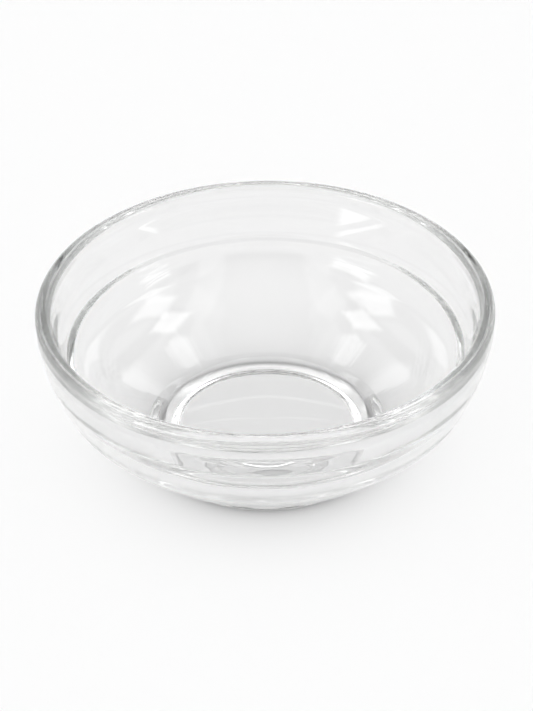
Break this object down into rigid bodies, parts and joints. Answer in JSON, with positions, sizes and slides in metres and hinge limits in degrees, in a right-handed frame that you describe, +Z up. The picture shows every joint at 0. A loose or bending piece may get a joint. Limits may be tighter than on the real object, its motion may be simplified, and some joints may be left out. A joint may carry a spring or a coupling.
{
  "type": "prep bowl",
  "caption": "Round clear pressed glass prep bowl with a rounded lip, an upright band with a narrow ledge inside, a curved wall and a foot ring.",
  "frame": {"origin": "on the bowl's axis, at the table under the foot ring", "axes": "+Z up along the bowl's axis; the bowl is round, so +X and +Y are any two square directions, with -Y towards the picture's camera"},
  "size_m": [0.105, 0.105, 0.0395],
  "materials": {
    "clear_glass": "fire polished, clear"
  },
  "bodies": {
    "root": {"bowl": "clear_glass"}
  },
  "joints": []
}
